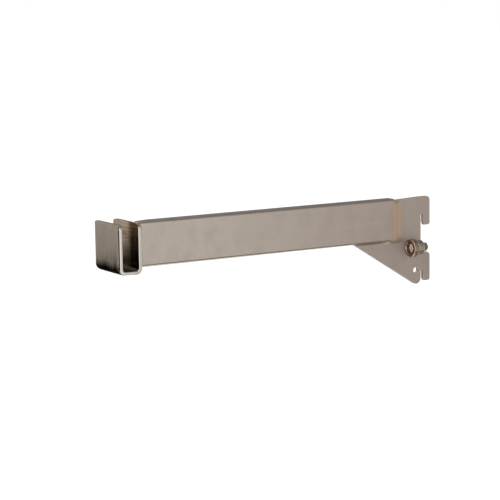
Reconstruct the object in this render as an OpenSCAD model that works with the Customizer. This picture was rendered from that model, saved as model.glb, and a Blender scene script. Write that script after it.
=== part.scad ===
// Hangrail bracket: a hook blade, a rectangular arm tube and a folded saddle for a rail.
// Millimetres. The blade's rear edge bears on the plane y = 0, midway between its two hook seats
// lies the origin, +Z is up and the arm runs towards -Y.

/* [Hook blade] */
// Thickness of the blade plate
blade_t = 3.2; // [2.5:0.1:4]
// Distance between the two hook seats, the pitch of the slots that take them
hook_pitch = 50.8; // [48:0.1:54]
// Height of a hook's neck above its seat
neck_h = 16.5; // [14:0.5:18]
// Wall that a hook reaches over, with its play
hook_gap = 2.6; // [2:0.1:4]
// Length of a hook's lip below its seat
lip_drop = 9.5; // [7:0.5:11]
// Width of a hook's lip
lip_w = 7.5; // [6:0.5:9]
// Radius of a hook's upper outer corner
lip_heel_r = 3.5; // [1:0.5:5]
// Radius of a hook's lower outer corner
lip_toe_r = 2; // [1:0.5:4]
// Blade length that shows between the tube's end and the bearing edge
blade_reach = 29.85; // [26:0.05:40]
// How far the blade's top edge falls towards the tube
top_fall = 1.1; // [0:0.1:2]
// Distance from the bearing edge at which the sloping lower edge leaves the tube
slope_start = 72.6; // [60:0.1:90]
// Depth of the sloping edge below the tube where it would meet the bearing edge
slope_depth = 45; // [42:0.5:52]
// Radius of the blade's lower corner
foot_r = 5; // [3:0.5:7]
// Diameter of the small through-hole
hole_d = 5.2; // [3:0.1:6]
// Distance of that hole from the bearing edge
hole_inset = 5.6; // [5:0.1:9]
// Height of that hole above the lower hook seat
hole_rise = 0.8; // [-2:0.1:4]

/* [Arm tube] */
// Length of the tube
tube_len = 254; // [150:1:360]
// Width of the tube
tube_w = 12.7; // [11.5:0.1:19]
// Height of the tube
tube_h = 38.1; // [36:0.1:40]
// Wall of the tube
tube_wall = 1.5; // [1.2:0.1:2]
// Outer corner radius of the tube
tube_r = 2.5; // [2.2:0.1:3]

/* [Saddle] */
// Thickness of the folded strip
strip_t = 3.175; // [2.5:0.025:4]
// Length of the saddle along the rail
saddle_len = 46.2; // [35:0.1:60]
// Clear width between the saddle's legs
rail_gap = 14.6; // [13:0.1:17]
// Overall height of the saddle
saddle_h = 41.9; // [38:0.1:46]
// How far the saddle's legs end below the tube's top
saddle_sink = 1.65; // [1:0.05:3]
// How far the saddle stands out past the tube on the near side
saddle_lap = 0.5; // [0:0.1:2]
// Outer radius of the two folds
fold_r = 5.5; // [5:0.1:7]
// Radius of the legs' upper corners
leg_corner_r = 4; // [2:0.5:8]
// Radius of the strip's rolled long edges
strip_edge_r = 0.9; // [0.3:0.1:1.2]

/* [Lock screw] */
// Diameter of the screw's shank
screw_d = 8; // [6:0.1:8]
// Radial running clearance of the shank in the boss
screw_clear = 0.05; // [0.02:0.01:0.1]
// Diameter of the screw's head
head_d = 16.5; // [13:0.1:17]
// Height of the screw's head
head_h = 5; // [4:0.1:8]
// Radius of the head's rounded edges
head_edge_r = 1; // [0.3:0.1:1.4]
// Width across the flats of the head's socket
socket_af = 8; // [4:0.1:8]
// Depth of the head's socket
socket_depth = 3; // [2:0.1:3.5]
// Gap left between the head and the boss
head_gap = 0.7; // [0.3:0.1:3]
// Height of the screw's axis below the origin
screw_drop = 2.6; // [0:0.1:8]
// Clearance between the head and the blade
head_clear = 0.3; // [0.2:0.1:1]

/* [Threaded boss] */
// Diameter of the boss that carries the screw
boss_d = 13.2; // [12:0.1:14]
// Length of the boss
boss_len = 7; // [5:0.1:9]
// Distance of the boss from the bearing edge
boss_inset = 6; // [4:0.1:8]
// Size of the chamfers on the boss and at its thread's mouths
boss_chamfer = 0.6; // [0.3:0.1:1]

/* [Welds] */
// Length of the dressed weld from the tube's end onto the blade
blade_weld_len = 9; // [5:0.5:12]
// Run of the dressed weld's sloping upper and lower ends
blade_weld_hip = 6; // [3:0.5:9]
// Leg of the saddle's fillet weld
fillet_leg = 3; // [2:0.1:4]
// How far the boss's weld spreads above and below the axis on the blade
boss_weld_half = 5; // [4:0.1:6]
// How far it spreads above and below the axis inside the boss's curve
boss_weld_root = 2.5; // [2:0.1:4]
// How deep the weld over the saddle was dressed into the tube's top
dress_depth = 0.8; // [0.3:0.1:1.2]
// Length of the tube's top over which that dressing runs out
dress_len = 12; // [6:0.5:20]
// How far the dressed weld runs onto the top of the saddle's rear leg
ramp_len = 2.5; // [1:0.1:3]

/* [Hidden] */
$fn = 96;

// Running fit of the blade's tongue inside the tube
tongue_fit = 0.1;
// Length of the tongue beyond the start of its sloping lower edge
tongue_extra = 4;
// Width and height of the lead-in inside a hook's lip
lip_lead = 0.9;
lip_lead_h = 3;
// Chamfer on the screw's tip
tip_chamfer = 1;
// Chamfer at the mouth of the head's socket and depth of the drill point at its bottom
mouth_chamfer = 0.5;
drill_point = 1.2;
// Length by which a cutting tool passes beyond what it cuts
overcut = 1;
// How far the weld ends stop short of the edges they run to
weld_inset = 1.5;

upper_seat = hook_pitch / 2;
lower_seat = -hook_pitch / 2;
tube_top = upper_seat + neck_h;
tube_bottom = tube_top - tube_h;
inner_r = tube_r - tube_wall;
near_x = blade_t / 2 + tube_wall;
tube_x = near_x - tube_w / 2;
far_x = near_x - tube_w;
tube_front = -blade_reach - tube_len;
dressed_top = tube_top - dress_depth;
slope = slope_depth / slope_start;
tongue_top = tube_top - tube_wall - inner_r - tongue_fit;
tongue_bottom = tube_bottom + tube_wall + inner_r + tongue_fit;
tongue_join = slope_start + (tongue_bottom - tube_bottom) / slope;
tongue_end = tongue_join + tongue_extra;
saddle_near = near_x + saddle_lap;
saddle_top = tube_top - saddle_sink;
saddle_bottom = saddle_top - saddle_h;
saddle_depth = 2 * strip_t + rail_gap;
saddle_front = tube_front - saddle_depth;
fold_inner_r = fold_r - strip_t;
screw_x = blade_t / 2 + head_d / 2 + head_clear;
boss_front = -boss_inset - boss_len;
head_seat = boss_front - head_gap;

// Unit vector from one point of an outline towards another
function towards(from, to) = ([to[0], to[1]] - [from[0], from[1]]) / norm([to[0] - from[0], to[1] - from[1]]);

// Half of the angle between the two edges that meet at corner i
function half_angle(c, i) =
    let(n = len(c), back = towards(c[i], c[(i + n - 1) % n]), ahead = towards(c[i], c[(i + 1) % n]))
    acos(back * ahead) / 2;

// Points where the round of corner i touches its two edges
function round_touches(c, i) =
    let(
        n = len(c),
        back = towards(c[i], c[(i + n - 1) % n]),
        ahead = towards(c[i], c[(i + 1) % n]),
        reach = c[i][2] / tan(half_angle(c, i)),
        here = [c[i][0], c[i][1]]
    )
    c[i][2] == 0 ? [here] : [here + back * reach, here + ahead * reach];

// Centre of the round of corner i
function round_centre(c, i) =
    let(
        n = len(c),
        middle = towards(c[i], c[(i + n - 1) % n]) + towards(c[i], c[(i + 1) % n])
    )
    [c[i][0], c[i][1]] + middle / norm(middle) * c[i][2] / sin(half_angle(c, i));

// Outline through corners given as [across, up, radius], with true arcs at its convex corners
module rounded_outline(corners) {
    polygon([for (i = [0:len(corners) - 1]) each round_touches(corners, i)]);
    for (i = [0:len(corners) - 1])
        if (corners[i][2] > 0)
            translate(round_centre(corners, i)) circle(r = corners[i][2]);
}

// Turns a side-view outline (across is Y, up is Z) to stand along the arm, as wide as given in X
module side_plate(width) {
    rotate([90, 0, 90]) linear_extrude(width) children();
}

// Runs a front-view outline (across is X, up is Z) along -Y
module along_arm(length) {
    rotate([90, 0, 0]) linear_extrude(length) children();
}

// Turns a profile (across is the radius, up is the distance towards -Y) about an axis along Y
module turned() {
    rotate([90, 0, 0]) rotate_extrude() children();
}

// Corners of one hook, from its seat up round the lip to the top of its neck
function hook_corners(seat) = [
    [0, seat, 0],
    [hook_gap, seat, 0],
    [hook_gap, seat + lip_lead_h - lip_drop, 0],
    [hook_gap + lip_lead, seat - lip_drop, 0],
    [hook_gap + lip_w, seat - lip_drop, lip_toe_r],
    [hook_gap + lip_w, seat + neck_h, lip_heel_r],
    [0, seat + neck_h, 0]
];

// Side view of the blade, from its tongue in the tube to its hooks
module blade_outline() {
    rounded_outline(concat(
        [
            [-blade_reach, tube_top - top_fall, 0],
            [-blade_reach, tongue_top, 0],
            [-tongue_end, tongue_top, 0],
            [-tongue_end, tongue_bottom, 0],
            [-tongue_join, tongue_bottom, 0],
            [0, tube_bottom - slope_depth, foot_r]
        ],
        hook_corners(lower_seat),
        hook_corners(upper_seat)
    ));
}

module hook_blade() {
    color("#9b928b")
    translate([-blade_t / 2, 0, 0])
    difference() {
        side_plate(blade_t) blade_outline();
        translate([-overcut, -hole_inset, lower_seat + hole_rise])
            rotate([0, 90, 0]) cylinder(d = hole_d, h = blade_t + 2 * overcut);
    }
}

// Rectangle with rounded corners, centred on the arm's axis
module tube_section(w, h, r) {
    rounded_outline([
        [-w / 2, -h / 2, r],
        [w / 2, -h / 2, r],
        [w / 2, h / 2, r],
        [-w / 2, h / 2, r]
    ]);
}

module arm_tube() {
    slit_len = tongue_join + tongue_fit - blade_reach;
    color("#a9a39a")
    difference() {
        translate([tube_x, -blade_reach, tube_top - tube_h / 2])
        along_arm(tube_len)
        difference() {
            tube_section(tube_w, tube_h, tube_r);
            tube_section(tube_w - 2 * tube_wall, tube_h - 2 * tube_wall, inner_r);
        }
        // Top edge dressed down to the weld that runs onto the saddle
        translate([far_x - overcut, 0, 0])
        side_plate(tube_w + 2 * overcut)
        polygon([
            [tube_front - overcut, tube_top + overcut],
            [tube_front - overcut, dressed_top - overcut * dress_depth / dress_len],
            [tube_front + dress_len, tube_top],
            [tube_front + dress_len, tube_top + overcut]
        ]);
        // Slit in the underside that lets the blade's sloping part out
        translate([-blade_t / 2 - tongue_fit, -blade_reach - slit_len, tube_bottom - overcut])
            cube([blade_t + tongue_fit, slit_len + overcut, tube_wall + inner_r + tongue_fit + overcut]);
    }
}

// Section of the flat strip with its rolled edges, from its edge and from one face
module strip_section() {
    rounded_outline([
        [0, 0, strip_edge_r],
        [saddle_len, 0, strip_edge_r],
        [saddle_len, strip_t, strip_edge_r],
        [0, strip_t, strip_edge_r]
    ]);
}

// The strip bent a quarter turn about an axis along X, from lying below it to standing behind it
module strip_fold() {
    rotate([0, 90, 0])
    rotate_extrude(angle = 90)
    translate([fold_r, 0])
    rotate(90)
    strip_section();
}

// The strip folded into a channel, its front face at zero and its underside at zero
module folded_strip() {
    for (leg_face = [0, saddle_depth - strip_t])
        translate([0, leg_face, fold_r])
        linear_extrude(saddle_h - fold_r)
        strip_section();
    translate([0, saddle_depth - fold_r, 0])
        along_arm(saddle_depth - 2 * fold_r) strip_section();
    translate([0, saddle_depth - fold_r, fold_r]) strip_fold();
    translate([0, fold_r, fold_r]) mirror([0, 1, 0]) strip_fold();
}

module rail_saddle() {
    color("#8b837b")
    translate([saddle_near - saddle_len, saddle_front, saddle_bottom])
    intersection() {
        folded_strip();
        // Front view of the legs, with their upper corners rounded off
        translate([0, saddle_depth + overcut, 0])
        along_arm(saddle_depth + 2 * overcut)
        rounded_outline([
            [0, -overcut, 0],
            [saddle_len, -overcut, 0],
            [saddle_len, saddle_h, leg_corner_r],
            [0, saddle_h, leg_corner_r]
        ]);
    }
}

// Dressed weld that ramps from the tube's near wall down to the blade, with an oval rear end
module blade_weld() {
    low = tube_bottom + tube_r;
    high = tube_top - tube_r - top_fall;
    color("#a08a78")
    intersection() {
        translate([0, 0, low])
        linear_extrude(high - low)
        polygon([
            [blade_t / 2, -blade_reach],
            [near_x, -blade_reach],
            [blade_t / 2, -blade_reach + blade_weld_len]
        ]);
        // Front view: the upper and lower ends slope down to the blade as well
        translate([0, -blade_reach + blade_weld_len + overcut, 0])
        along_arm(blade_weld_len + 2 * overcut)
        polygon([
            [blade_t / 2, low],
            [near_x, low + blade_weld_hip],
            [near_x, high - blade_weld_hip],
            [blade_t / 2, high]
        ]);
        // Side view: the rear corners are rounded to an oval
        side_plate(near_x + overcut)
        rounded_outline([
            [-blade_reach - overcut, low, 0],
            [-blade_reach + blade_weld_len, low, blade_weld_len],
            [-blade_reach + blade_weld_len, high, blade_weld_len],
            [-blade_reach - overcut, high, 0]
        ]);
    }
}

// Fillet on the tube's far side and a small ramp over the top of the saddle's rear leg
module saddle_weld() {
    color("#8f8880") {
        translate([0, 0, tube_bottom + tube_r])
        linear_extrude(tube_h - tube_r - saddle_sink - weld_inset)
        polygon([
            [far_x, tube_front],
            [far_x - fillet_leg, tube_front],
            [far_x, tube_front + fillet_leg]
        ]);
        translate([far_x + tube_r, 0, 0])
        side_plate(tube_w - 2 * tube_r - weld_inset)
        polygon([
            [tube_front, saddle_top],
            [tube_front, dressed_top],
            [tube_front - ramp_len, saddle_top]
        ]);
    }
}

// Round boss with a threaded hole, chamfered at both ends
module screw_boss() {
    r = boss_d / 2;
    bore_r = screw_d / 2 + screw_clear;
    color("#958c80")
    translate([screw_x, -boss_inset, -screw_drop])
    turned()
    polygon([
        [bore_r + boss_chamfer, 0],
        [r - boss_chamfer, 0],
        [r, boss_chamfer],
        [r, boss_len - boss_chamfer],
        [r - boss_chamfer, boss_len],
        [bore_r + boss_chamfer, boss_len],
        [bore_r, boss_len - boss_chamfer],
        [bore_r, boss_chamfer]
    ]);
}

// Weld metal between the boss and the blade
module boss_weld() {
    color("#8f8880")
    difference() {
        translate([0, -boss_inset - boss_chamfer, -screw_drop])
        along_arm(boss_len - 2 * boss_chamfer)
        polygon([
            [blade_t / 2, -boss_weld_half],
            [screw_x, -boss_weld_root],
            [screw_x, boss_weld_root],
            [blade_t / 2, boss_weld_half]
        ]);
        translate([screw_x, -boss_inset + overcut, -screw_drop])
            rotate([90, 0, 0]) cylinder(d = boss_d, h = boss_len + 2 * overcut);
    }
}

// Socket-head screw whose tip presses back beside the hooks and locks them in their slots
module lock_screw() {
    color("#7d7268")
    translate([screw_x, 0, -screw_drop])
    difference() {
        turned() {
            polygon([
                [0, 0],
                [screw_d / 2 - tip_chamfer, 0],
                [screw_d / 2, tip_chamfer],
                [screw_d / 2, -head_seat + overcut],
                [0, -head_seat + overcut]
            ]);
            translate([0, -head_seat])
            intersection() {
                rounded_outline([
                    [-head_d / 2, 0, head_edge_r],
                    [head_d / 2, 0, head_edge_r],
                    [head_d / 2, head_h, head_edge_r],
                    [-head_d / 2, head_h, head_edge_r]
                ]);
                square([head_d, head_h]);
            }
        }
        translate([0, head_seat - head_h + socket_depth, 0])
        rotate([90, 0, 0])
        cylinder(r = socket_af / 2 / cos(30), h = socket_depth + overcut, $fn = 6);
        translate([0, head_seat - head_h + socket_depth, 0])
        turned()
        polygon([
            [0, -drill_point],
            [socket_af / 2, 0],
            [0, 0]
        ]);
        translate([0, head_seat - head_h, 0])
        turned()
        polygon([
            [0, -socket_af / 2 - mouth_chamfer],
            [socket_af / 2 + mouth_chamfer, 0],
            [socket_af / 2 + mouth_chamfer + overcut, overcut],
            [0, overcut]
        ]);
    }
}

hook_blade();
arm_tube();
rail_saddle();
blade_weld();
saddle_weld();
screw_boss();
boss_weld();
lock_screw();
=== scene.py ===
import math
import bpy
from mathutils import Matrix, Vector


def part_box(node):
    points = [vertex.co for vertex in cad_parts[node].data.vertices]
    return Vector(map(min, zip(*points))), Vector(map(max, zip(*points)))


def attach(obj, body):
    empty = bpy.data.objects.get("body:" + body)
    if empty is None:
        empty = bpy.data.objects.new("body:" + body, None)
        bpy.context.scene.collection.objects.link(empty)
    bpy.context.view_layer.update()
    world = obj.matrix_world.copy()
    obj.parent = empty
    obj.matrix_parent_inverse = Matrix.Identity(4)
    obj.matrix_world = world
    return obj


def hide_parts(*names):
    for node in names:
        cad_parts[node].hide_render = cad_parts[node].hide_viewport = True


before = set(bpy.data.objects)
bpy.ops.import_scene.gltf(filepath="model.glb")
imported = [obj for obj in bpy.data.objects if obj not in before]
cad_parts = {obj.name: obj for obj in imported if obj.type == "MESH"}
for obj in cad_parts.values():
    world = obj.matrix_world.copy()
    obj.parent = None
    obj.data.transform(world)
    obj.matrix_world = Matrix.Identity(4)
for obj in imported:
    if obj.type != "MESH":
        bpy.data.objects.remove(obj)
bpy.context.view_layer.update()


# Camera
# A long lens from the bracket's near front, a little above it, with the slight roll of the
# photograph. Its place and turn come from a fit to the edges of the tube and the saddle.
IMAGE_PIXELS = 500
FOCAL_PIXELS = 1745.6
AZIMUTH = math.radians(59.03)
ELEVATION = math.radians(8.35)
ROLL = math.radians(-0.86)
# The top of the blade's bearing edge, its pixel in the photograph and its distance
AIM_POINT = Vector((0, 0, 0.0419))
AIM_PIXEL = (419.61, 196.28)
AIM_DEPTH = 1.5721

camera_data = bpy.data.cameras.new("studio_camera")
camera_data.sensor_width = 36
camera_data.lens = FOCAL_PIXELS / IMAGE_PIXELS * camera_data.sensor_width
camera_data.clip_end = 100
camera = bpy.data.objects.new("studio_camera", camera_data)
bpy.context.scene.collection.objects.link(camera)
forward = Vector((
    -math.sin(AZIMUTH) * math.cos(ELEVATION),
    math.cos(AZIMUTH) * math.cos(ELEVATION),
    -math.sin(ELEVATION),
))
level_right = forward.cross(Vector((0, 0, 1))).normalized()
level_up = level_right.cross(forward)
right = level_right * math.cos(ROLL) + level_up * math.sin(ROLL)
up = level_up * math.cos(ROLL) - level_right * math.sin(ROLL)
across = (AIM_PIXEL[0] - IMAGE_PIXELS / 2) / FOCAL_PIXELS * AIM_DEPTH
below = (AIM_PIXEL[1] - IMAGE_PIXELS / 2) / FOCAL_PIXELS * AIM_DEPTH
camera_place = AIM_POINT - forward * AIM_DEPTH - right * across + up * below
turn = Matrix((right, up, -forward)).transposed()
camera.matrix_world = Matrix.Translation(camera_place) @ turn.to_4x4()
bpy.context.scene.camera = camera
bpy.context.scene.view_settings.view_transform = "Standard"


# Floor, backdrop and light
# A pale floor well below the bracket, which hangs in the air as it does in use, under a white
# sky. Cards stand round it out of the camera's sight and shade what the metal shows.
def deselect_all():
    """Leaves nothing selected in object mode."""
    bpy.ops.object.select_all(action="DESELECT")


def white_ray_mask(nodes, links):
    """1 for what the camera sees directly, in metal or through glass, and 0 for other light."""
    path = nodes.new("ShaderNodeLightPath")
    glossy = nodes.new("ShaderNodeMath")
    glossy.operation = "MAXIMUM"
    links.new(path.outputs["Is Camera Ray"], glossy.inputs[0])
    links.new(path.outputs["Is Glossy Ray"], glossy.inputs[1])
    seen = nodes.new("ShaderNodeMath")
    seen.operation = "MAXIMUM"
    links.new(glossy.outputs[0], seen.inputs[0])
    links.new(path.outputs["Is Transmission Ray"], seen.inputs[1])
    return seen.outputs[0]


def settled(name):
    """Names the primitive that was just added and fixes its place in its mesh."""
    piece = bpy.context.active_object
    piece.name = name
    piece.data.name = name
    bpy.ops.object.transform_apply(location=True, rotation=True, scale=True)
    return piece


world = bpy.data.worlds.new("studio_world")
bpy.context.scene.world = world
world.use_nodes = True
world_nodes = world.node_tree.nodes
world_links = world.node_tree.links
world_nodes.clear()
plain_sky = world_nodes.new("ShaderNodeBackground")
plain_sky.inputs["Color"].default_value = (0.9, 0.9, 0.9, 1)
white_sky = world_nodes.new("ShaderNodeBackground")
white_sky.inputs["Color"].default_value = (1, 1, 1, 1)
sky_mix = world_nodes.new("ShaderNodeMixShader")
world_links.new(white_ray_mask(world_nodes, world_links), sky_mix.inputs[0])
world_links.new(plain_sky.outputs[0], sky_mix.inputs[1])
world_links.new(white_sky.outputs[0], sky_mix.inputs[2])
sky_out = world_nodes.new("ShaderNodeOutputWorld")
world_links.new(sky_mix.outputs[0], sky_out.inputs["Surface"])

ARM_MIDDLE = Vector((0, -0.15, 0))
FLOOR_BELOW = 0.75
deselect_all()
bpy.ops.mesh.primitive_plane_add(size=60, location=(0, 0, -FLOOR_BELOW))
floor = settled("floor")
floor_paint = bpy.data.materials.new("floor_paint")
floor_paint.use_nodes = True
paint_nodes = floor_paint.node_tree.nodes
paint_links = floor_paint.node_tree.links
paint_nodes.clear()
matt = paint_nodes.new("ShaderNodeBsdfDiffuse")
matt.inputs["Color"].default_value = (0.82, 0.82, 0.82, 1)
lift = paint_nodes.new("ShaderNodeEmission")
paint_links.new(white_ray_mask(paint_nodes, paint_links), lift.inputs["Strength"])
lift.inputs["Color"].default_value = (0.36, 0.36, 0.36, 1)
paint_sum = paint_nodes.new("ShaderNodeAddShader")
paint_links.new(matt.outputs[0], paint_sum.inputs[0])
paint_links.new(lift.outputs[0], paint_sum.inputs[1])
paint_out = paint_nodes.new("ShaderNodeOutputMaterial")
paint_links.new(paint_sum.outputs[0], paint_out.inputs["Surface"])
floor.data.materials.append(floor_paint)


def studio_card(name, azimuth, elevation, distance, size, shade):
    """A card of even glow that faces the arm from a direction in degrees, seen in metal only."""
    turn_to = math.radians(azimuth)
    rise = math.radians(elevation)
    outward = Vector((
        math.cos(turn_to) * math.cos(rise),
        math.sin(turn_to) * math.cos(rise),
        math.sin(rise),
    ))
    deselect_all()
    bpy.ops.mesh.primitive_plane_add(
        size=1, location=ARM_MIDDLE + outward * distance,
        rotation=outward.to_track_quat("Z", "Y").to_euler())
    bpy.context.active_object.scale = (size[0], size[1], 1)
    card = settled(name)
    paper = bpy.data.materials.new(name)
    paper.use_nodes = True
    paper.node_tree.nodes.clear()
    glow = paper.node_tree.nodes.new("ShaderNodeEmission")
    glow.inputs["Color"].default_value = (shade, shade, shade, 1)
    out = paper.node_tree.nodes.new("ShaderNodeOutputMaterial")
    paper.node_tree.links.new(glow.outputs[0], out.inputs["Surface"])
    card.data.materials.append(paper)
    card.visible_camera = False
    card.visible_diffuse = False
    card.visible_shadow = False


studio_card("card_side_near", 12, 0, 2.0, (1.3, 1.7), 0.77)
studio_card("card_side_far", 52, 0, 2.0, (1.5, 1.7), 0.53)
studio_card("card_side_top", 40, 31, 2.1, (3.2, 1.0), 0.42)
studio_card("card_front", 205, 9, 2.0, (1.7, 1.5), 0.44)
studio_card("card_front_dark", 251, 0, 1.6, (1.25, 1.6), 0.05)
studio_card("card_front_low", 182, -31.4, 1.2, (1.7, 1.0), 0.01)
studio_card("card_spark", 192, 60, 1.8, (0.9, 0.5), 2.4)
studio_card("card_back", 150, -6, 2.3, (1.7, 1.2), 0.12)
studio_card("card_over", 150, 26, 2.3, (2.2, 1.5), 0.27)
studio_card("card_above", 70, 66, 1.8, (3.4, 1.7), 0.26)
studio_card("card_below", 50, -55, 0.8, (2.4, 1.0), 0.32)


def softbox(name, place, size, power):
    """A square area lamp that faces the middle of the arm."""
    lamp = bpy.data.lights.new(name, "AREA")
    lamp.shape = "SQUARE"
    lamp.size = size
    lamp.energy = power
    lamp_object = bpy.data.objects.new(name, lamp)
    bpy.context.scene.collection.objects.link(lamp_object)
    lamp_object.location = place
    aim = ARM_MIDDLE - Vector(place)
    lamp_object.rotation_euler = aim.to_track_quat("-Z", "Y").to_euler()


softbox("softbox_key", (1.2, -0.9, 1.7), 0.8, 5)
softbox("softbox_fill", (-0.8, -1.8, 1.4), 1.0, 2)


# Hook blade
# A pressed steel plate 3.2 mm thick with two hooks at its rear edge and a tongue that runs into
# the tube. Its edges are lightly broken, and satin nickel covers it and its welds alike.
def add_group(name, inputs, outputs):
    """An empty shader node group with its float or vector inputs and its outputs."""
    group = bpy.data.node_groups.new(name, "ShaderNodeTree")
    for label, kind, value in inputs:
        socket = group.interface.new_socket(label, in_out="INPUT", socket_type=kind)
        socket.default_value = value
    for label, kind in outputs:
        group.interface.new_socket(label, in_out="OUTPUT", socket_type=kind)
    entry = group.nodes.new("NodeGroupInput")
    leave = group.nodes.new("NodeGroupOutput")
    return group, entry, leave


# Fine polishing lines: noise that is drawn out along one direction of the piece
grain_group, grain_in, grain_out = add_group(
    "polish_lines",
    [("Stretch", "NodeSocketVector", (1, 1, 1)), ("Contrast", "NodeSocketFloat", 1.0)],
    [("Lines", "NodeSocketFloat"), ("Height", "NodeSocketFloat")],
)
grain_place = grain_group.nodes.new("ShaderNodeTexCoord")
grain_scale = grain_group.nodes.new("ShaderNodeVectorMath")
grain_scale.operation = "MULTIPLY"
grain_group.links.new(grain_place.outputs["Object"], grain_scale.inputs[0])
grain_group.links.new(grain_in.outputs["Stretch"], grain_scale.inputs[1])
grain_noise = grain_group.nodes.new("ShaderNodeTexNoise")
grain_noise.inputs["Scale"].default_value = 1
grain_noise.inputs["Detail"].default_value = 4
grain_noise.inputs["Roughness"].default_value = 0.6
grain_group.links.new(grain_scale.outputs[0], grain_noise.inputs["Vector"])
grain_centre = grain_group.nodes.new("ShaderNodeMath")
grain_centre.operation = "SUBTRACT"
grain_centre.inputs[1].default_value = 0.5
grain_group.links.new(grain_noise.outputs["Fac"], grain_centre.inputs[0])
grain_strength = grain_group.nodes.new("ShaderNodeMath")
grain_strength.operation = "MULTIPLY"
grain_group.links.new(grain_centre.outputs[0], grain_strength.inputs[0])
grain_group.links.new(grain_in.outputs["Contrast"], grain_strength.inputs[1])
grain_group.links.new(grain_strength.outputs[0], grain_out.inputs["Lines"])
grain_group.links.new(grain_noise.outputs["Fac"], grain_out.inputs["Height"])

# An oval mask with a ragged edge. Unless told otherwise it lies where the welding at the tube's
# rear end left a heat tint under the plate.
HEAT_CENTRE = (0.0023, -0.028, 0.0205)
HEAT_REACH = (0.02, 0.0098, 0.024)
HEAT_RAGGED = 0.4
heat_group, heat_in, heat_out = add_group(
    "weld_heat",
    [("Centre", "NodeSocketVector", HEAT_CENTRE), ("Reach", "NodeSocketVector", HEAT_REACH)],
    [("Mask", "NodeSocketFloat")],
)
heat_place = heat_group.nodes.new("ShaderNodeTexCoord")
heat_offset = heat_group.nodes.new("ShaderNodeVectorMath")
heat_offset.operation = "SUBTRACT"
heat_group.links.new(heat_place.outputs["Object"], heat_offset.inputs[0])
heat_group.links.new(heat_in.outputs["Centre"], heat_offset.inputs[1])
heat_share = heat_group.nodes.new("ShaderNodeVectorMath")
heat_share.operation = "DIVIDE"
heat_group.links.new(heat_offset.outputs[0], heat_share.inputs[0])
heat_group.links.new(heat_in.outputs["Reach"], heat_share.inputs[1])
heat_length = heat_group.nodes.new("ShaderNodeVectorMath")
heat_length.operation = "LENGTH"
heat_group.links.new(heat_share.outputs[0], heat_length.inputs[0])
heat_ripple = heat_group.nodes.new("ShaderNodeTexNoise")
heat_ripple.inputs["Scale"].default_value = 160
heat_group.links.new(heat_place.outputs["Object"], heat_ripple.inputs["Vector"])
heat_uneven = heat_group.nodes.new("ShaderNodeMath")
heat_uneven.operation = "MULTIPLY_ADD"
heat_uneven.inputs[1].default_value = HEAT_RAGGED
heat_group.links.new(heat_ripple.outputs["Fac"], heat_uneven.inputs[0])
heat_group.links.new(heat_length.outputs["Value"], heat_uneven.inputs[2])
heat_fade = heat_group.nodes.new("ShaderNodeMapRange")
heat_fade.interpolation_type = "SMOOTHSTEP"
heat_fade.inputs["From Min"].default_value = 1.35
heat_fade.inputs["From Max"].default_value = 0.7
heat_group.links.new(heat_uneven.outputs[0], heat_fade.inputs["Value"])
heat_group.links.new(heat_fade.outputs[0], heat_out.inputs["Mask"])


# Tones by which the plate's colour is multiplied, and the tints that lie over it
COOL_TONE = (1.02, 1.05, 1.03)
WARM_TONE = (0.99, 0.93, 0.94)
SMUDGE_TONE = (0.88, 0.85, 0.84)
HEAT_STRAW = (0.5, 0.45, 0.34, 1)
HEAT_BRONZE = (0.6, 0.415, 0.3, 1)
# Soot with painted shadow in the corner under the tube: its colour and share
SOOT_AND_SHADE_BROWN = (0.17, 0.12, 0.08, 1)
SOOT_AND_SHADE_SHARE = 0.7
# How the warmer tone gathers towards the rear: its share at the origin and its change per metre
WARM_START = 0.38
WARM_PER_METRE = 2.6
# How much the lines darken the colour, and how the mottling, lines, wear and painted highlights
# change the gloss
LINE_SHADE = 0.12
MOTTLE_ROUGHNESS = 0.08
LINE_ROUGHNESS = 0.06
WEAR_AND_HIGHLIGHT_SMOOTHER = 0.06
# Heights between which the painted shade deepens towards the bottom, and the level rub marks across
# it
SHADE_TOP = 0.036
SHADE_BOTTOM = 0.008
RUB_STRETCH = (30, 30, 620)
RUB_CONTRAST = 2.8


def toned(colour, tone):
    """A colour with each channel multiplied by the tone's, as an opaque one."""
    return (*[channel * share for channel, share in zip(colour, tone)], 1)


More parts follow.
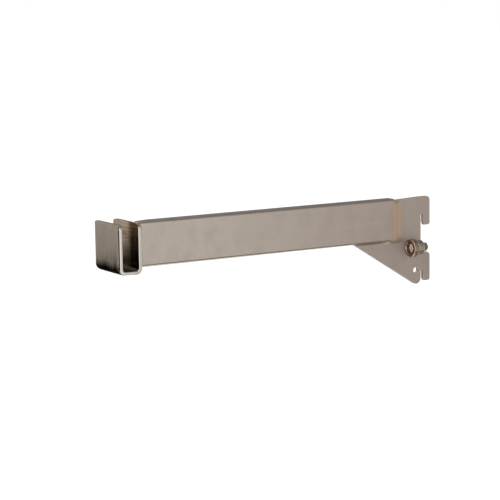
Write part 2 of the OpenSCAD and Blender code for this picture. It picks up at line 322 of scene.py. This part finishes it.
def satin_nickel(
        name, colour, wear_and_highlight_colour, stretch, roughness, lines=1.0, heat=0.0, painted_shade=None, soot_and_shade=None):
    """Satin nickel plate with polishing lines, smudges, rubbed edges and painted highlights, heat
    tint, painted shade, and soot with painted shadow.
    """
    plate = bpy.data.materials.new(name)
    plate.use_nodes = True
    nodes = plate.node_tree.nodes
    links = plate.node_tree.links
    nodes.clear()
    shader = nodes.new("ShaderNodeBsdfPrincipled")
    shader.inputs["Metallic"].default_value = 1
    out = nodes.new("ShaderNodeOutputMaterial")
    links.new(shader.outputs[0], out.inputs["Surface"])

    grain = nodes.new("ShaderNodeGroup")
    grain.node_tree = grain_group
    grain.inputs["Stretch"].default_value = stretch
    grain.inputs["Contrast"].default_value = lines
    place = nodes.new("ShaderNodeTexCoord")
    mottle = nodes.new("ShaderNodeTexNoise")
    mottle.inputs["Scale"].default_value = 38
    mottle.inputs["Detail"].default_value = 2
    links.new(place.outputs["Object"], mottle.inputs["Vector"])

    # Colour: two close tones by the mottling, the warmer one towards the rear, darker in the lines
    # and smudges, tinted by heat, darkened by soot with painted shadow and by painted shade, pale
    # at worn edges and painted highlights
    along = nodes.new("ShaderNodeSeparateXYZ")
    links.new(place.outputs["Object"], along.inputs[0])
    raised = nodes.new("ShaderNodeMath")
    raised.operation = "ADD"
    raised.inputs[1].default_value = WARM_START
    links.new(mottle.outputs["Fac"], raised.inputs[0])
    warmth = nodes.new("ShaderNodeMath")
    warmth.operation = "MULTIPLY_ADD"
    warmth.inputs[1].default_value = WARM_PER_METRE
    links.new(along.outputs["Y"], warmth.inputs[0])
    links.new(raised.outputs[0], warmth.inputs[2])
    tones = nodes.new("ShaderNodeMix")
    tones.data_type = "RGBA"
    tones.inputs["A"].default_value = toned(colour, COOL_TONE)
    tones.inputs["B"].default_value = toned(colour, WARM_TONE)
    links.new(warmth.outputs[0], tones.inputs["Factor"])
    lined = nodes.new("ShaderNodeMix")
    lined.data_type = "RGBA"
    lined.blend_type = "MULTIPLY"
    lined.inputs["Factor"].default_value = 1
    shade = nodes.new("ShaderNodeMath")
    shade.operation = "MULTIPLY_ADD"
    shade.inputs[1].default_value = LINE_SHADE
    shade.inputs[2].default_value = 1
    links.new(grain.outputs["Lines"], shade.inputs[0])
    links.new(tones.outputs["Result"], lined.inputs["A"])
    links.new(shade.outputs[0], lined.inputs["B"])
    smudge = nodes.new("ShaderNodeTexNoise")
    smudge.inputs["Scale"].default_value = 62
    smudge.inputs["Detail"].default_value = 6
    smudge.inputs["Roughness"].default_value = 0.62
    links.new(place.outputs["Object"], smudge.inputs["Vector"])
    handled = nodes.new("ShaderNodeMapRange")
    handled.inputs["From Min"].default_value = 0.5
    handled.inputs["From Max"].default_value = 0.8
    links.new(smudge.outputs["Fac"], handled.inputs["Value"])
    duller = nodes.new("ShaderNodeMix")
    duller.data_type = "RGBA"
    duller.inputs["B"].default_value = toned(colour, SMUDGE_TONE)
    links.new(handled.outputs[0], duller.inputs["Factor"])
    links.new(lined.outputs["Result"], duller.inputs["A"])
    colour_out = duller.outputs["Result"]
    if heat:
        tint = nodes.new("ShaderNodeGroup")
        tint.node_tree = heat_group
        amount = nodes.new("ShaderNodeMath")
        amount.operation = "MULTIPLY"
        amount.inputs[1].default_value = heat
        links.new(tint.outputs["Mask"], amount.inputs[0])
        hues = nodes.new("ShaderNodeMix")
        hues.data_type = "RGBA"
        hues.inputs["A"].default_value = HEAT_STRAW
        hues.inputs["B"].default_value = HEAT_BRONZE
        links.new(amount.outputs[0], hues.inputs["Factor"])
        straw = nodes.new("ShaderNodeMix")
        straw.data_type = "RGBA"
        links.new(hues.outputs["Result"], straw.inputs["B"])
        links.new(amount.outputs[0], straw.inputs["Factor"])
        links.new(colour_out, straw.inputs["A"])
        colour_out = straw.outputs["Result"]
    # Soot with painted shadow along a ragged band
    if soot_and_shade:
        line = nodes.new("ShaderNodeGroup")
        line.node_tree = heat_group
        line.inputs["Centre"].default_value = soot_and_shade[0]
        line.inputs["Reach"].default_value = soot_and_shade[1]
        thinner = nodes.new("ShaderNodeMath")
        thinner.operation = "MULTIPLY"
        thinner.inputs[1].default_value = SOOT_AND_SHADE_SHARE
        links.new(line.outputs["Mask"], thinner.inputs[0])
        sooty_shade = nodes.new("ShaderNodeMix")
        sooty_shade.data_type = "RGBA"
        sooty_shade.inputs["B"].default_value = SOOT_AND_SHADE_BROWN
        links.new(thinner.outputs[0], sooty_shade.inputs["Factor"])
        links.new(colour_out, sooty_shade.inputs["A"])
        colour_out = sooty_shade.outputs["Result"]
    # Painted shade, deepening towards the bottom and crossed by level rub marks, laid where the
    # face attribute asks for it
    if painted_shade:
        shade_mark = nodes.new("ShaderNodeAttribute")
        shade_mark.attribute_name = "painted_shade"
        depth = nodes.new("ShaderNodeMapRange")
        depth.inputs["From Min"].default_value = SHADE_TOP
        depth.inputs["From Max"].default_value = SHADE_BOTTOM
        links.new(along.outputs["Z"], depth.inputs["Value"])
        deeper = nodes.new("ShaderNodeMix")
        deeper.data_type = "RGBA"
        deeper.inputs["A"].default_value = (*painted_shade[0], 1)
        deeper.inputs["B"].default_value = (*painted_shade[1], 1)
        links.new(depth.outputs[0], deeper.inputs["Factor"])
        rubs = nodes.new("ShaderNodeGroup")
        rubs.node_tree = grain_group
        rubs.inputs["Stretch"].default_value = RUB_STRETCH
        rubs.inputs["Contrast"].default_value = RUB_CONTRAST
        rubbing = nodes.new("ShaderNodeMath")
        rubbing.operation = "ADD"
        rubbing.inputs[1].default_value = 1
        links.new(rubs.outputs["Lines"], rubbing.inputs[0])
        scuffed = nodes.new("ShaderNodeMix")
        scuffed.data_type = "RGBA"
        scuffed.blend_type = "MULTIPLY"
        scuffed.inputs["Factor"].default_value = 1
        links.new(deeper.outputs["Result"], scuffed.inputs["A"])
        links.new(rubbing.outputs[0], scuffed.inputs["B"])
        shade_mix = nodes.new("ShaderNodeMix")
        shade_mix.data_type = "RGBA"
        links.new(scuffed.outputs["Result"], shade_mix.inputs["B"])
        links.new(shade_mark.outputs["Fac"], shade_mix.inputs["Factor"])
        links.new(colour_out, shade_mix.inputs["A"])
        colour_out = shade_mix.outputs["Result"]
    # Paler colour where the edge attribute says: worn edges, and on some pieces painted highlights
    edge_mark = nodes.new("ShaderNodeAttribute")
    edge_mark.attribute_name = "edge"
    wear_and_highlight = nodes.new("ShaderNodeMix")
    wear_and_highlight.data_type = "RGBA"
    wear_and_highlight.inputs["B"].default_value = (*wear_and_highlight_colour, 1)
    links.new(edge_mark.outputs["Fac"], wear_and_highlight.inputs["Factor"])
    links.new(colour_out, wear_and_highlight.inputs["A"])
    links.new(wear_and_highlight.outputs["Result"], shader.inputs["Base Color"])

    # Roughness follows the lines and the mottling, and the rubbed edges and painted highlights are
    # smoother
    rough = nodes.new("ShaderNodeMath")
    rough.operation = "MULTIPLY_ADD"
    rough.inputs[1].default_value = MOTTLE_ROUGHNESS
    rough.inputs[2].default_value = roughness - MOTTLE_ROUGHNESS / 2
    links.new(mottle.outputs["Fac"], rough.inputs[0])
    streaked = nodes.new("ShaderNodeMath")
    streaked.operation = "MULTIPLY_ADD"
    streaked.inputs[1].default_value = LINE_ROUGHNESS
    links.new(grain.outputs["Lines"], streaked.inputs[0])
    links.new(rough.outputs[0], streaked.inputs[2])
    smoother = nodes.new("ShaderNodeMath")
    smoother.operation = "MULTIPLY_ADD"
    smoother.inputs[1].default_value = -WEAR_AND_HIGHLIGHT_SMOOTHER
    links.new(edge_mark.outputs["Fac"], smoother.inputs[0])
    links.new(streaked.outputs[0], smoother.inputs[2])
    links.new(smoother.outputs[0], shader.inputs["Roughness"])

    bump = nodes.new("ShaderNodeBump")
    bump.inputs["Strength"].default_value = 0.06
    bump.inputs["Distance"].default_value = 0.00002
    links.new(grain.outputs["Height"], bump.inputs["Height"])
    links.new(bump.outputs[0], shader.inputs["Normal"])
    return plate


# Corners closer than the first become one, and a cut within the second of a corner meets it
MERGE_REACH = 0.000002
CUT_REACH = 0.000001
# Faces that meet at less than the first angle are flat, and at more than the second make an edge
FLAT_WITHIN = math.radians(0.4)
SHARP_FROM = math.radians(35)


def loose_copy(node, name):
    """A copy of a CAD node's mesh with its doubled corners merged, as a new piece."""
    piece = bpy.data.objects.new(name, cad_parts[node].data.copy())
    bpy.context.scene.collection.objects.link(piece)
    deselect_all()
    piece.select_set(True)
    bpy.context.view_layer.objects.active = piece
    bpy.ops.object.mode_set(mode="EDIT")
    bpy.ops.mesh.select_all(action="SELECT")
    bpy.ops.mesh.remove_doubles(threshold=MERGE_REACH)
    bpy.ops.object.mode_set(mode="OBJECT")
    piece.data.materials.clear()
    return piece


def clear_flats(piece):
    """Joins the loose triangles of a piece's flat faces."""
    bpy.ops.object.mode_set(mode="EDIT")
    bpy.ops.mesh.select_all(action="SELECT")
    bpy.ops.mesh.dissolve_limited(angle_limit=FLAT_WITHIN)
    bpy.ops.object.mode_set(mode="OBJECT")


def round_edges(piece, width, steps):
    """Rounds a piece's sharp edges and writes where they are to its edge attribute."""
    # The rounder gives its new faces the second of two material slots, which tells them apart
    for slot in range(2):
        piece.data.materials.append(None)
    rounder = piece.modifiers.new("rounder", "BEVEL")
    rounder.limit_method = "ANGLE"
    rounder.angle_limit = SHARP_FROM
    rounder.width = width
    rounder.segments = steps
    rounder.material = 1
    bpy.ops.object.modifier_apply(modifier="rounder")
    worn = [float(face.material_index == 1) for face in piece.data.polygons]
    mark = piece.data.attributes.new("edge", "FLOAT", "FACE")
    mark.data.foreach_set("value", worn)
    for face in piece.data.polygons:
        face.material_index = 0
    piece.data.materials.clear()
    bpy.ops.object.shade_smooth_by_angle(angle=SHARP_FROM)
    evener = piece.modifiers.new("evener", "WEIGHTED_NORMAL")
    evener.keep_sharp = True
    bpy.ops.object.modifier_apply(modifier="evener")


def broken_edges(node, name, width, steps):
    """A copy of a CAD node as a new piece, with its sharp edges rounded and marked for wear."""
    piece = loose_copy(node, name)
    clear_flats(piece)
    round_edges(piece, width, steps)
    return piece


def mark_faces(piece, name, test):
    """Writes what a test of centre and normal gives to a face attribute, where it is the larger."""
    values = [float(test(face.center, face.normal)) for face in piece.data.polygons]
    if name in piece.data.attributes:
        known = [0.0] * len(values)
        piece.data.attributes[name].data.foreach_get("value", known)
        values = [max(pair) for pair in zip(values, known)]
        mark = piece.data.attributes[name]
    else:
        mark = piece.data.attributes.new(name, "FLOAT", "FACE")
    mark.data.foreach_set("value", values)


def cut_across(piece, cuts):
    """Cuts the faces of the active piece by planes, each a place and a normal."""
    bpy.ops.object.mode_set(mode="EDIT")
    for place, normal in cuts:
        bpy.ops.mesh.select_all(action="SELECT")
        bpy.ops.mesh.bisect(plane_co=place, plane_no=normal, threshold=CUT_REACH)
    bpy.ops.object.mode_set(mode="OBJECT")


def dress(piece, material, slot, body, *nodes):
    """Gives a piece its material and body, and hides the CAD nodes that it stands for; slot is not
    used.
    """
    piece.data.materials.append(material)
    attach(piece, body)
    if nodes:
        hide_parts(*nodes)


# A dark line on the blade in the corner under the tube, partly soot that the plate didn't cover and
# partly painted shadow
blade_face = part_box("hook_blade")[1][0]
tube_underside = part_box("arm_tube")[0][2]
LINE_BELOW = 0.0004
LINE_MIDDLE = (blade_face, -0.0565, tube_underside - LINE_BELOW)
LINE_REACH = (0.004, 0.021, 0.0009)
blade = broken_edges("hook_blade", "blade_plate", 0.00025, 2)
blade_finish = satin_nickel(
    "blade_nickel", (0.535, 0.475, 0.415), (0.6, 0.53, 0.47), (260, 40, 900), 0.58, heat=0.9,
    soot_and_shade=(LINE_MIDDLE, LINE_REACH))
dress(blade, blade_finish, "blade_nickel", "bracket", "hook_blade")


# Arm tube
# Rectangular steel tube, 12.7 by 38.1 mm in a 1.5 mm wall, slit along its underside at the rear
# so that the blade's sloping part comes out. It lies on the blade and is welded to it at its end.
tube = broken_edges("arm_tube", "arm_shell", 0.0002, 2)
tube_finish = satin_nickel(
    "tube_nickel", (0.58, 0.51, 0.445), (0.62, 0.56, 0.49), (500, 12, 500), 0.25, heat=0.9)
dress(tube, tube_finish, "tube_nickel", "bracket", "arm_tube")


# Rail saddle
# Flat steel strip with rolled edges, folded into an open channel that takes the rail from above.
# Its rear leg is welded square across the tube's front end.
saddle_low, saddle_high = (Vector(corner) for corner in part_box("rail_saddle"))
STRIP_T = 0.003175
INNER_FOLD_R = 0.0023
FOLD_R = INNER_FOLD_R + STRIP_T
fold_y = saddle_low.y + FOLD_R
fold_z = saddle_low.z + FOLD_R
# The strip's outer side rolls over towards its three free edges, as sheared strip does
ROLL_REACH = 0.0042
ROLL_DROP = 0.0008
ROLL_CUTS = (1, 0.8, 0.62, 0.45, 0.31)
# Painted dark reflection fades out up the front leg's outer side, and painted shade fills the
# channel from under its floor
DARK_REFLECTION_TOP = 0.0086
DARK_REFLECTION_FADE = 0.0042
DARK_REFLECTION_CUTS = 9
DARK_REFLECTION_SHARE = 0.8
UNDER_FLOOR = 0.001
channel_front = saddle_low.y + 0.003
channel_rear = saddle_low.y + 0.018
channel_middle = saddle_low.y + 0.0098
front_side = saddle_low.y + 0.0048
near_edge = saddle_high.x - 0.0016
# The rear leg's near edge gets less of the paler colour, as wear and painted highlight, than the
# front leg's
REAR_EDGE_SHARE = 0.55
saddle = loose_copy("rail_saddle", "saddle_strip")
for share in ROLL_CUTS:
    cut_across(saddle, [
        ((saddle_high.x - ROLL_REACH * share, 0, 0), (1, 0, 0)),
        ((saddle_low.x + ROLL_REACH * share, 0, 0), (1, 0, 0)),
        ((0, 0, saddle_high.z - ROLL_REACH * share), (0, 0, 1)),
    ])
for step in range(DARK_REFLECTION_CUTS):
    cut_across(saddle, [((0, 0, DARK_REFLECTION_TOP - DARK_REFLECTION_FADE * step / DARK_REFLECTION_CUTS), (0, 0, 1))])
for corner in saddle.data.vertices:
    x, y, z = corner.co
    if y > fold_y + FOLD_R:
        continue
    inset = min(saddle_high.x - x, x - saddle_low.x, saddle_high.z - z)
    drop = ROLL_DROP * max(0, 1 - inset / ROLL_REACH) ** 2
    if z > fold_z:
        outward = Vector((0, -1, 0))
        depth = y - saddle_low.y
    elif y > fold_y:
        outward = Vector((0, 0, -1))
        depth = z - saddle_low.z
    else:
        outward = Vector((0, y - fold_y, z - fold_z))
        depth = FOLD_R - outward.length
        outward.normalize()
    corner.co -= outward * drop * (1 - min(max(depth / STRIP_T, 0), 1))
round_edges(saddle, 0.0002, 2)
# The near edges are paler, as wear and as painted highlight
mark_faces(saddle, "edge", lambda centre, normal: (
    (normal.x > 0.5 and centre.x > near_edge) * (1 if centre.y < channel_middle else REAR_EDGE_SHARE)))
# Painted shade inside the channel, darker towards its floor
mark_faces(saddle, "painted_shade", lambda centre, normal: (
    channel_front < centre.y < channel_rear and centre.z > UNDER_FLOOR
    and abs(normal.x) < 0.5 and normal.z > -0.3))
# Painted dark reflection on the front leg's outer side above the fold, fading out upwards
mark_faces(saddle, "painted_shade", lambda centre, normal: (
    (centre.y < front_side and normal.y < -0.02 and normal.x < 0.4)
    * DARK_REFLECTION_SHARE * min(max((DARK_REFLECTION_TOP - centre.z) / DARK_REFLECTION_FADE, 0), 1)))
# The two dark colours are the painted shade and painted reflection, brown high up and near black
# low down
saddle_finish = satin_nickel(
    "saddle_nickel", (0.61, 0.5, 0.42), (0.71, 0.67, 0.62), (160, 500, 12), 0.16, lines=7,
    painted_shade=((0.68, 0.51, 0.36), (0.06, 0.03, 0.013)))
saddle_shader = saddle_finish.node_tree.nodes["Principled BSDF"]
saddle_shader.inputs["Specular Tint"].default_value = (0.9, 0.88, 0.85, 1)
dress(saddle, saddle_finish, "saddle_nickel", "bracket", "rail_saddle")


# Welds
# The tube's end is welded to the blade and dressed smooth before plating, and small fillets hold
# the saddle and the boss. The blade weld is modelled here as one soft skin over its solid.
def smooth_share(low, high, value):
    """0 below low, 1 above high and a smooth rise between them."""
    share = min(max((value - low) / (high - low), 0), 1)
    return share * share * (3 - 2 * share)


weld_finish = satin_nickel(
    "weld_nickel", (0.54, 0.47, 0.41), (0.6, 0.53, 0.46), (240, 240, 240), 0.42, heat=0.9)
# Where the skin lies along Y and up Z
SKIN_FRONT = -0.0335
SKIN_LENGTH = 0.015
SKIN_LOW = 0.0005
SKIN_HEIGHT = 0.0405
# Stretches over which it ramps between the blade's and the tube's near faces
RAMP_REAR = (-0.0288, -0.0195)
RAMP_LOW = (0.0012, 0.005)
RAMP_HIGH = (0.0372, 0.0408)
tube_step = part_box("arm_tube")[1][0] - blade_face
# Stretches over which it thins out until it dips under the faces that it lies on
THIN_FRONT = (-0.0335, -0.0295)
THIN_REAR = (-0.0205, -0.0187)
THIN_LOW = (0.0006, 0.0022)
THIN_HIGH = (0.0385, 0.0409)
SKIN_THICK = 0.0001
SKIN_DIP = 0.00006
SKIN_BACKING = 0.0012
# Ripples of the dressed metal: their height, and their run in radians per metre
RIPPLE = 0.00002
RIPPLE_UP = 2100
RIPPLE_ALONG = 900
RIPPLE_BEND = 2
deselect_all()
bpy.ops.mesh.primitive_grid_add(x_subdivisions=36, y_subdivisions=70, size=1)
blade_weld = settled("blade_weld_skin")
for corner in blade_weld.data.vertices:
    y = SKIN_FRONT + (corner.co.x + 0.5) * SKIN_LENGTH
    z = SKIN_LOW + (corner.co.y + 0.5) * SKIN_HEIGHT
    ramp = (1 - smooth_share(*RAMP_REAR, y)) * smooth_share(*RAMP_LOW, z)
    ramp *= 1 - smooth_share(*RAMP_HIGH, z)
    cover = smooth_share(*THIN_FRONT, y) * (1 - smooth_share(*THIN_REAR, y))
    cover *= smooth_share(*THIN_LOW, z) * (1 - smooth_share(*THIN_HIGH, z))
    ripple = RIPPLE * math.sin(z * RIPPLE_UP + RIPPLE_BEND * math.sin(y * RIPPLE_ALONG))
    x = blade_face + tube_step * ramp + (SKIN_THICK + ripple) * cover - SKIN_DIP
    corner.co = (x, y, z)
backing = blade_weld.modifiers.new("backing", "SOLIDIFY")
backing.thickness = SKIN_BACKING
backing.offset = -1
bpy.ops.object.modifier_apply(modifier="backing")
bpy.ops.object.shade_smooth_by_angle(angle=math.radians(50))
dress(blade_weld, weld_finish, "weld_nickel", "bracket", "blade_weld")

# Two drops of spatter below the tube's edge, beside the weld, far paler than the plate as painted
# glints
spatter_glint_finish = satin_nickel(
    "spatter_glint_nickel", (0.88, 0.83, 0.78), (0.9, 0.86, 0.8), (240, 240, 240), 0.14)
DROP_X = 0.0017
DROP_HALF = (0.0006, 0.0010, 0.0007)
DROP_LEAN = 0.0003
DROP_CURL = 0.00015
for name, y, z, size in (
        ("weld_drop_low", -0.0379, 0.0026, 1), ("weld_drop_high", -0.0347, 0.0029, 0.8)):
    deselect_all()
    bpy.ops.mesh.primitive_uv_sphere_add(
        segments=16, ring_count=10, radius=1, location=(DROP_X, y, z))
    bpy.context.active_object.scale = [half * size for half in DROP_HALF]
    spatter = settled(name)
    for corner in spatter.data.vertices:
        rise = (corner.co.z - z) / (DROP_HALF[2] * size)
        corner.co.y += DROP_LEAN * size * rise
        corner.co.x -= DROP_CURL * size * rise * rise
    bpy.ops.object.shade_smooth()
    dress(spatter, spatter_glint_finish, "weld_nickel", "bracket")

for node in ("saddle_weld", "boss_weld"):
    metal = broken_edges(node, node + "_metal", 0.0004, 3)
    dress(metal, weld_finish, "weld_nickel", "bracket", node)


# Screw boss
# A turned steel collar that holds the lock screw, welded on edge to the blade's near face.
# Its front, where the head stands close to it, carries painted shade.
boss = broken_edges("screw_boss", "boss_collar", 0.0002, 2)
boss_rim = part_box("screw_boss")[0][1] + 0.0004
# Painted shade on the front faces and front rim, in the gap between the head and the collar
mark_faces(boss, "painted_shade", lambda centre, normal: normal.y < -0.3 or centre.y < boss_rim)
boss_finish = satin_nickel(
    "boss_nickel", (0.5, 0.43, 0.34), (0.6, 0.53, 0.44), (900, 60, 900), 0.2,
    painted_shade=((0.1, 0.06, 0.04), (0.1, 0.06, 0.04)))
dress(boss, boss_finish, "boss_nickel", "bracket", "screw_boss")


# Lock screw
# A short screw with a big dished socket head, turned by a hexagon key until its tip stands out
# behind the boss and holds the hooks home. Its dish, socket, head's rear and shank carry painted
# shade, and its socket floor and dish wall carry painted highlights.
SCREW_X = 0.01015
SCREW_Z = -0.0026
HEAD_FRONT = -0.0187
HEAD_SEAT = -0.0137
# The shank is narrowed to the thread's root from just behind the head
ROOT_SHARE = 0.83
BEHIND_HEAD = 0.00005
DISH_R = 0.0061
DISH_DEPTH = 0.00085
# Depths in the head and distances from its axis at which its painted shade and painted highlights
# begin and end
DISH_WALL = 0.0008
SHADED_FROM_SEAT = 0.0008
SOCKET_FLOOR = HEAD_FRONT + 0.0029
SOCKET_END = HEAD_FRONT + 0.0045
SHADED_DISH_R = 0.00605
BRIGHT_WALL_R = 0.0063
BRIGHT_FLOOR_R = 0.005


def off_axis(centre):
    """How far a place is from the screw's axis."""
    return math.hypot(centre.x - SCREW_X, centre.z - SCREW_Z)


screw = loose_copy("lock_screw", "lock_screw_body")
for corner in screw.data.vertices:
    if corner.co.y > HEAD_SEAT + BEHIND_HEAD:
        corner.co.x = SCREW_X + (corner.co.x - SCREW_X) * ROOT_SHARE
        corner.co.z = SCREW_Z + (corner.co.z - SCREW_Z) * ROOT_SHARE
deselect_all()
bpy.ops.mesh.primitive_cylinder_add(
    vertices=72, radius=DISH_R, depth=2 * DISH_DEPTH, location=(SCREW_X, HEAD_FRONT, SCREW_Z),
    rotation=(math.radians(90), 0, 0))
cutter = settled("dish_cutter")
deselect_all()
screw.select_set(True)
bpy.context.view_layer.objects.active = screw
clear_flats(screw)
dish = screw.modifiers.new("dish", "BOOLEAN")
dish.operation = "DIFFERENCE"
dish.solver = "EXACT"
dish.object = cutter
bpy.ops.object.modifier_apply(modifier="dish")
bpy.data.objects.remove(cutter)
round_edges(screw, 0.00015, 2)
# Painted shade in the dish and socket mouth, and on the head's rear and the shank behind it
mark_faces(screw, "painted_shade", lambda centre, normal: (
    centre.y > HEAD_SEAT - SHADED_FROM_SEAT
    or (centre.y < SOCKET_FLOOR and off_axis(centre) < SHADED_DISH_R)))
# Painted highlight on the socket floor
mark_faces(screw, "edge", lambda centre, normal: (
    SOCKET_FLOOR < centre.y < SOCKET_END and off_axis(centre) < BRIGHT_FLOOR_R))
# Painted highlight on the dish's wall
mark_faces(screw, "edge", lambda centre, normal: (
    HEAD_FRONT < centre.y < HEAD_FRONT + DISH_WALL and abs(normal.y) < 0.2
    and off_axis(centre) < BRIGHT_WALL_R))
# The pale edge colour here is mostly painted highlight, and the dark colour is the painted shade
screw_finish = satin_nickel(
    "screw_nickel", (0.42, 0.34, 0.25), (0.8, 0.7, 0.64), (500, 500, 500), 0.11,
    painted_shade=((0.13, 0.065, 0.05), (0.13, 0.065, 0.05)))
dress(screw, screw_finish, "screw_nickel", "screw", "lock_screw")
# The screw is left out of reflections, where the blade would show it as a dark blot
screw.visible_glossy = False

# The shank's thread as a sleeve on its root, run out at the tip
PITCH = 0.00125
THREAD_L = 0.0127
THREAD_START = HEAD_SEAT + 0.0002
ROOT_R = 0.0033
RIDGE_H = 0.00067
RIDGE_FLANK = (0.15, 0.85)
RUN_OUT_R = 0.00335
RUN_OUT_Y = -0.0007
deselect_all()
bpy.ops.mesh.primitive_grid_add(x_subdivisions=48, y_subdivisions=84, size=1)
thread = settled("screw_thread")
for corner in thread.data.vertices:
    turn_share = corner.co.x + 0.5
    y = THREAD_START + (corner.co.y + 0.5) * THREAD_L
    ridge = abs((y / PITCH - turn_share) % 1 - 0.5) * 2
    radius = ROOT_R + RIDGE_H * smooth_share(*RIDGE_FLANK, ridge)
    radius = max(ROOT_R, min(radius, RUN_OUT_R + (RUN_OUT_Y - y)))
    spin = 2 * math.pi * turn_share
    corner.co = (SCREW_X + radius * math.cos(spin), y, SCREW_Z + radius * math.sin(spin))
bpy.ops.object.mode_set(mode="EDIT")
bpy.ops.mesh.select_all(action="SELECT")
bpy.ops.mesh.remove_doubles(threshold=MERGE_REACH)
bpy.ops.mesh.fill_holes(sides=100)
bpy.ops.mesh.select_all(action="SELECT")
bpy.ops.mesh.normals_make_consistent(inside=False)
bpy.ops.object.mode_set(mode="OBJECT")
bpy.ops.object.shade_smooth_by_angle(angle=math.radians(40))
dress(thread, screw_finish, "screw_nickel", "screw")
